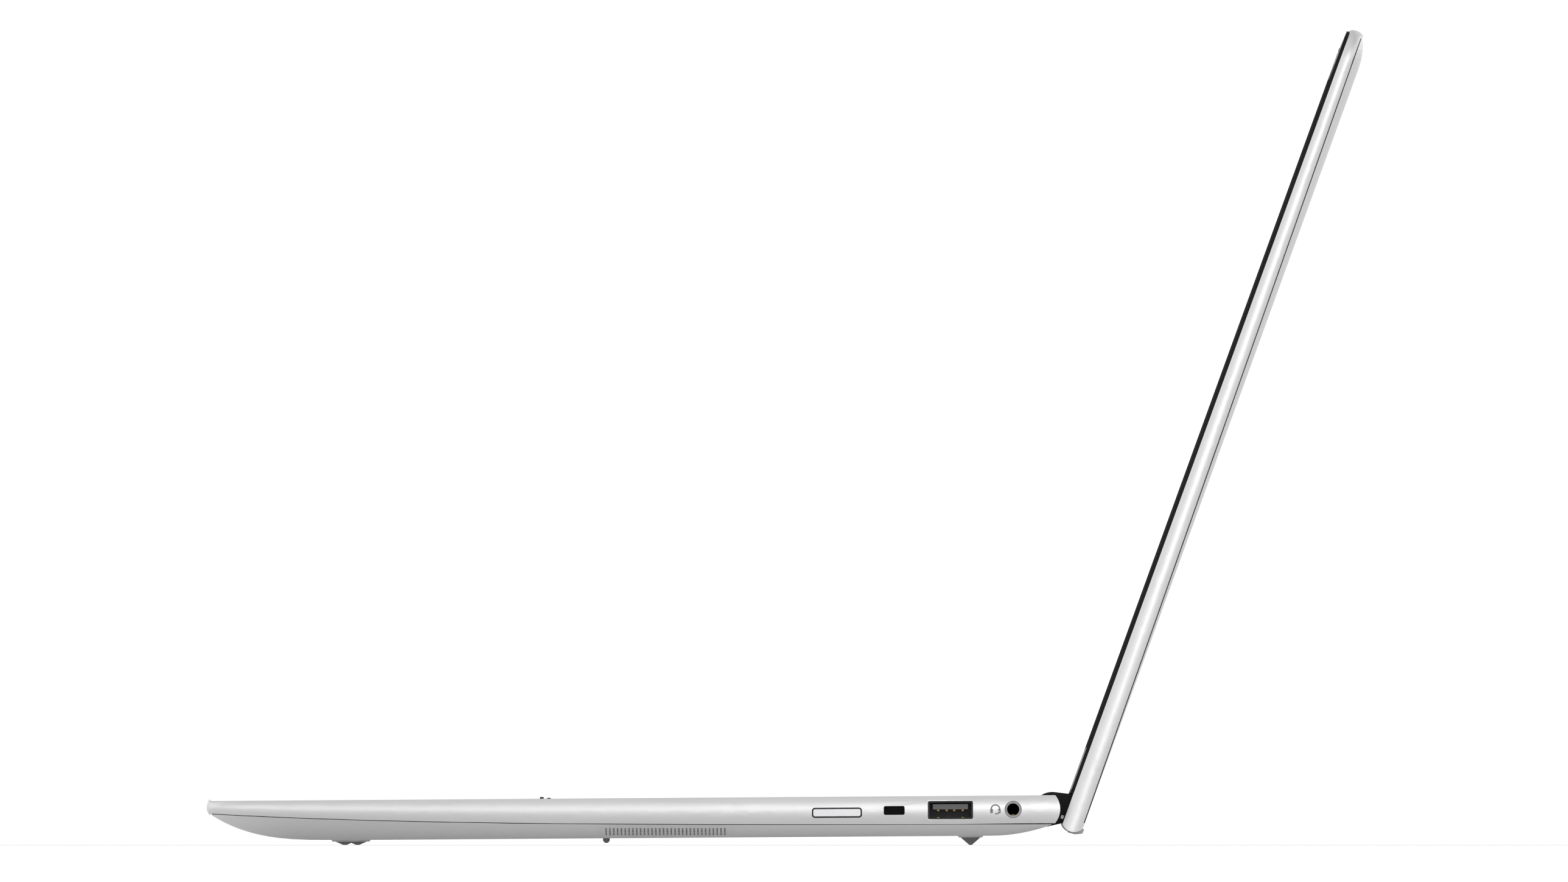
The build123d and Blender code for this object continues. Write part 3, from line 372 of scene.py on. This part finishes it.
def rim(name, s, h, width, height, radius, mat):
    """A thin bright edge round an opening, following the curve of the side band and turning inwards."""
    bm = bmesh.new()
    loops = []
    for growth, lift in ((0.45, 0.0), (0.4, 0.03), (-0.04, 0.03), (-0.16, -0.3)):
        outline = rounded_loop(width + growth, height + growth, radius + growth / 2)
        loops.append([bm.verts.new(on_band(s + u, h + v, lift)) for u, v in outline])
    join_loops(bm, loops)
    bmesh.ops.recalc_face_normals(bm, faces=bm.faces)
    piece(name, bm, mat, "base", smooth=True)


def prism(bm, near, far):
    """A closed solid between two outlines with the same number of points."""
    near = [bm.verts.new(p) for p in near]
    far = [bm.verts.new(p) for p in far]
    sides = [bm.faces.new(near), bm.faces.new(far[::-1])]
    for i in range(len(near)):
        j = (i + 1) % len(near)
        sides.append(bm.faces.new((near[i], far[i], far[j], near[j])))
    bmesh.ops.recalc_face_normals(bm, faces=sides)


rim("usb_rim", USB_S, USB_H, width=13.3, height=5.5, radius=0.5, mat=rim_metal)

# painted shade: a dark ring in the gap round the face of the SIM tray, and a dark block at the end of the
# lock slot
SIM_S, SIM_H = 185.1, -4.71
TRAY_LENGTH, TRAY_HEIGHT, TRAY_RADIUS = 14.0, 2.25, 0.55
LOCK_S, LOCK_H = 201.9, -4.16
gap = bmesh.new()
gap_loops = []
for growth, lift in ((0.74, 0.0), (0.7, 0.03), (0.06, 0.03), (-0.1, -0.5)):
    outline = rounded_loop(TRAY_LENGTH + growth, TRAY_HEIGHT + growth, TRAY_RADIUS + growth / 2)
    gap_loops.append([gap.verts.new(on_band(SIM_S + u, SIM_H + v, lift)) for u, v in outline])
join_loops(gap, gap_loops)
bmesh.ops.recalc_face_normals(gap, faces=gap.faces)
piece("sim_tray_gap", gap, painted_hole_shade, "base")

pocket = bmesh.new()
prism(pocket, *[[at(BASE, x, LOCK_S + u, LOCK_H + v) for u, v in rounded_loop(6.2, 2.65, 0.5)]
                for x in (174.1, 175.2)])
piece("lock_slot_end", pocket, painted_hole_shade, "base")

# metal contacts in the USB socket: four under the tongue, two springs below
BLADE_ROOT, BLADE_TIP = 167.0, 177.5
blades = bmesh.new()
# each contact's place along the socket, the height of its top, its width and its thickness
blade_shapes = [(offset, -3.93, 0.6, 0.5) for offset in (-3.6, -1.1, 1.1, 3.6)]
blade_shapes += [(offset, -6.1, 0.7, 0.30) for offset in (-3.6, 3.6)]
for offset, top, width, thickness in blade_shapes:
    profile = [(BLADE_ROOT, top), (BLADE_TIP - 0.3, top), (BLADE_TIP, top - 0.1),
               (BLADE_TIP, top - thickness), (BLADE_ROOT, top - thickness)]
    prism(blades, *[[at(BASE, x, USB_S + offset + way * width / 2, h) for x, h in profile]
                    for way in (-1, 1)])
piece("usb_contacts", blades, contact_gold, "base")

# the face of the plastic tongue that carries the contacts
tongue = bmesh.new()
prism(tongue, *[[at(BASE, x, USB_S + u, USB_H + 1.0 + v)
                 for u, v in rounded_loop(size, size - 8.8, 0.2, 3)]
                for x, size in ((BLADE_TIP, 10.38), (177.86, 10.3))])
piece("usb_tongue_face", tongue, tongue_plastic, "base")

# a dark lining inside the headset socket, painted shade for its deep bore, and a small contact
SIDES = 32
LINER_MOUTH, LINER_END, LINER_RADIUS = 179.0, 167.0, 1.77
liner = bmesh.new()
liner_loops = []
for x, r in ((LINER_MOUTH, LINER_RADIUS), (LINER_END, LINER_RADIUS), (LINER_END, 0.01)):
    liner_loops.append([liner.verts.new(at(BASE, x, AUDIO_S + r * cos(2 * pi * i / SIDES),
                                           AUDIO_H + r * sin(2 * pi * i / SIDES))) for i in range(SIDES)])
join_loops(liner, liner_loops)
piece("headset_socket_bore_shade", liner, painted_hole_shade, "base", smooth=True)

spring = bmesh.new()
arm = [(177.9, -1.5), (176.8, -1.05), (175.6, -1.5), (175.6, -1.72), (177.9, -1.72)]
prism(spring, *[[at(BASE, x, AUDIO_S + way * 0.45, AUDIO_H + h) for x, h in arm] for way in (-1, 1)])
piece("headset_contact", spring, contact_gold, "base")

# generic headset pictogram in front of the headset socket
MARK_S, MARK_H, MARK_LIFT = 231.6, -4.0, 0.05
mark = bmesh.new()
ARC = 24


def mark_vert(u, v):
    """A vertex of the pictogram, at u and v from its middle."""
    return mark.verts.new(on_band(MARK_S + u, MARK_H + v, MARK_LIFT))


outer, inner = [[mark_vert(radius * cos(pi * i / ARC), radius * sin(pi * i / ARC))
                 for i in range(ARC + 1)] for radius in (1.45, 1.08)]
for i in range(ARC):
    mark.faces.new((outer[i], outer[i + 1], inner[i + 1], inner[i]))
for way in (-1, 1):
    mark.faces.new([mark_vert(way * 1.14 + u, -0.52 + v) for u, v in rounded_loop(0.78, 1.3, 0.25, 4)])
boom = [(1.35, -1.1), (1.06, -1.1), (0.86, -1.42), (-0.1, -1.55), (-0.1, -1.2), (0.72, -1.14)]
mark.faces.new([mark_vert(u, v) for u, v in boom])
piece("headset_mark", mark, printed_mark, "base")

# ---------------------------------------------------------------- lid details
LID_TOP, HALF_WIDTH, CORNER = 246.2, 179.7, 9.0
LID_RIM = -5.7
FLANK_SLOPE = 0.11
LINE_SIDES = 6


def lid_crease(from_nose):
    """The z of the crease and its distance from the middle, at a distance from the top edge."""
    depth = 3.6 + 0.0092 * from_nose
    radius = CORNER - 0.6 - FLANK_SLOPE * depth
    across = max(0, CORNER - from_nose)
    return LID_RIM - depth, HALF_WIDTH - CORNER + sqrt(max(0, radius**2 - across**2))


def line_along(name, space, outline, radius, body):
    """A thin dark line of painted shade that runs through the points of an outline, in the frame of the
    base or the lid.
    """
    bm = bmesh.new()
    line_loops = []
    for i, point in enumerate(outline):
        before, after = outline[max(0, i - 1)], outline[min(len(outline) - 1, i + 1)]
        across = (Vector(after) - Vector(before)).cross(UP).normalized()
        ring = []
        for k in range(LINE_SIDES):
            angle = 2 * pi * k / LINE_SIDES
            spot = Vector(point) + across * radius * cos(angle) + UP * radius * sin(angle)
            ring.append(bm.verts.new(at(space, *spot)))
        line_loops.append(ring)
    join_loops(bm, line_loops)
    bmesh.ops.recalc_face_normals(bm, faces=bm.faces)
    piece(name, bm, painted_line_shade, body, smooth=True)


# painted shade: a thin dark line along the crease round the lid's back cover
corner_steps = [CORNER - (CORNER - 1.7) * sin(step * pi / 20) for step in range(11)]
right_edge = [(lid_crease(t)[1] - 0.03, LID_TOP - t, lid_crease(t)[0])
              for t in [246, 120, 40] + corner_steps]
line_along("lid_crease_shade_line", LID, right_edge + [(-x, y, z) for x, y, z in right_edge[::-1]],
           0.19, "lid")

SEAM_REAR, SEAM_RISE, SEAM_LENGTH = -8.5, 4.85, 75.0
SEAM_GAP = 0.15


def seam(s):
    """The half width and the height of the gap between the top case and the bottom cover at s."""
    height = SEAM_REAR + SEAM_RISE * exp(-s / SEAM_LENGTH)
    radius = CORNER - 0.7 + FLANK_SLOPE * height
    across = max(0, CORNER - s)
    return HALF_WIDTH - CORNER + sqrt(max(0, radius**2 - across**2)), height - SEAM_GAP / 2


# a thin dark line along the gap between the top case and the bottom cover: the gap is real, and the line,
# wider than the gap, is painted shade
right_seam = [(seam(s)[0] - 0.06, s, seam(s)[1])
              for s in [248.0, 200, 150, 120, 90, 70, 50, 35, 25, 16] + corner_steps]
line_along("seam_shade_line", BASE, right_seam + [(-x, y, z) for x, y, z in right_seam[::-1]], 0.14, "base")

# webcam lens, in steps like a real one: the radius and the height of each ring
lens = bmesh.new()
CAMERA_Y = 240.9
rings = ((1.55, -6.245), (1.35, -6.2), (1.2, -6.24), (0.9, -6.21), (0.45, -6.19), (0.01, -6.185))
loops = [[lens.verts.new(at(LID, r * cos(2 * pi * i / SIDES), CAMERA_Y + r * sin(2 * pi * i / SIDES), z))
          for i in range(SIDES)] for r, z in rings]
join_loops(lens, loops)
piece("webcam_lens", lens, lens_glass, "lid", smooth=True)

# ---------------------------------------------------------------- stage
# a round floor just under the feet, all in metres
FLOOR_RADIUS, FLOOR_SIDES, FLOOR_Z = 1.3, 96, -2e-5
floor_mesh = bmesh.new()
floor_mesh.faces.new([floor_mesh.verts.new((FLOOR_RADIUS * cos(2 * pi * i / FLOOR_SIDES),
                                            FLOOR_RADIUS * sin(2 * pi * i / FLOOR_SIDES), FLOOR_Z))
                      for i in range(FLOOR_SIDES)])
mesh = bpy.data.meshes.new("floor")
floor_mesh.to_mesh(mesh)
floor_mesh.free()
floor = bpy.data.objects.new("floor", mesh)
bpy.context.scene.collection.objects.link(floor)
mesh.materials.append(surface("floor_paint", grey(0.70), 0.50, grain=60, relief=1e-6, mottle=0.004,
                              blotch=6, spread=0.02, IOR=1.24, Emission_Strength=0.16))

# a pale sky: even below the horizon, brightest at it, and softly darker towards the top
world = bpy.data.worlds.new("studio")
bpy.context.scene.world = world
world.use_nodes = True
sky = world.node_tree
direction = sky.nodes.new("ShaderNodeTexCoord")
parts = sky.nodes.new("ShaderNodeSeparateXYZ")
sky.links.new(direction.outputs["Generated"], parts.inputs["Vector"])
height = sky.nodes.new("ShaderNodeMapRange")
height.inputs["From Min"].default_value = -1
sky.links.new(parts.outputs["Z"], height.inputs["Value"])
shades = sky.nodes.new("ShaderNodeValToRGB")
FLOOR_SHADE, SKYLINE = 0.66, 1.06
stops = [(0.0, FLOOR_SHADE), (0.46, FLOOR_SHADE), (0.48, SKYLINE), (0.53, SKYLINE),
         (0.60, 0.80), (0.80, 0.58), (0.93, 0.50), (1.0, 0.48)]
ramp = shades.color_ramp
for i, (position, level) in enumerate(stops):
    element = ramp.elements[i] if i < 2 else ramp.elements.new(position)
    element.position = position
    element.color = (level, level, level, 1)
sky.links.new(height.outputs["Result"], shades.inputs["Fac"])
sky.links.new(shades.outputs["Color"], sky.nodes["Background"].inputs["Color"])


def soft_sun(name, toward, strength, spread):
    """A distant soft light that shines along toward."""
    data = bpy.data.lights.new(name, "SUN")
    data.energy = strength
    data.angle = radians(spread)
    obj = bpy.data.objects.new(name, data)
    bpy.context.scene.collection.objects.link(obj)
    obj.rotation_mode = "QUATERNION"
    obj.rotation_quaternion = Vector(toward).to_track_quat("-Z", "Y")


soft_sun("side_light", (-1.0, 0.05, -0.04), 0.32, 100)
soft_sun("top_light", (-0.15, 0.25, -1.0), 0.15, 60)
soft_sun("front_light", (0.2, 1.0, -0.6), 0.15, 50)
soft_sun("back_light", (0.7, -0.7, -0.5), 0.15, 60)

# a small soft light off the right side, aimed a little forwards and down
box = bpy.data.lights.new("soft_box", "AREA")
box.shape = "DISK"
box.size = 0.24
box.spread = radians(70)
box.energy = 0.07
soft_box = bpy.data.objects.new("soft_box", box)
bpy.context.scene.collection.objects.link(soft_box)
soft_box.location = (0.80, 0.19, 0.20)
soft_box.rotation_mode = "QUATERNION"
soft_box.rotation_quaternion = Vector((-1, -0.15, -0.16)).to_track_quat("-Z", "Y")
soft_box.visible_camera = False

# ---------------------------------------------------------------- camera
# far off to the right with a long lens, so that the side is seen nearly without perspective
SIDE_X, DISTANCE = 0.1797, 11.5
camera_data = bpy.data.cameras.new("camera")
camera_data.lens = 900
camera_data.sensor_width = 36
camera_data.clip_end = 200
camera = bpy.data.objects.new("camera", camera_data)
bpy.context.scene.collection.objects.link(camera)
camera.location = (SIDE_X + DISTANCE, 0.0647, 0.0006)
target = Vector((SIDE_X, 0.0, 0.1185))
camera.rotation_mode = "QUATERNION"
camera.rotation_quaternion = (target - camera.location).to_track_quat("-Z", "Y")
bpy.context.scene.camera = camera
bpy.context.scene.view_settings.view_transform = "Standard"
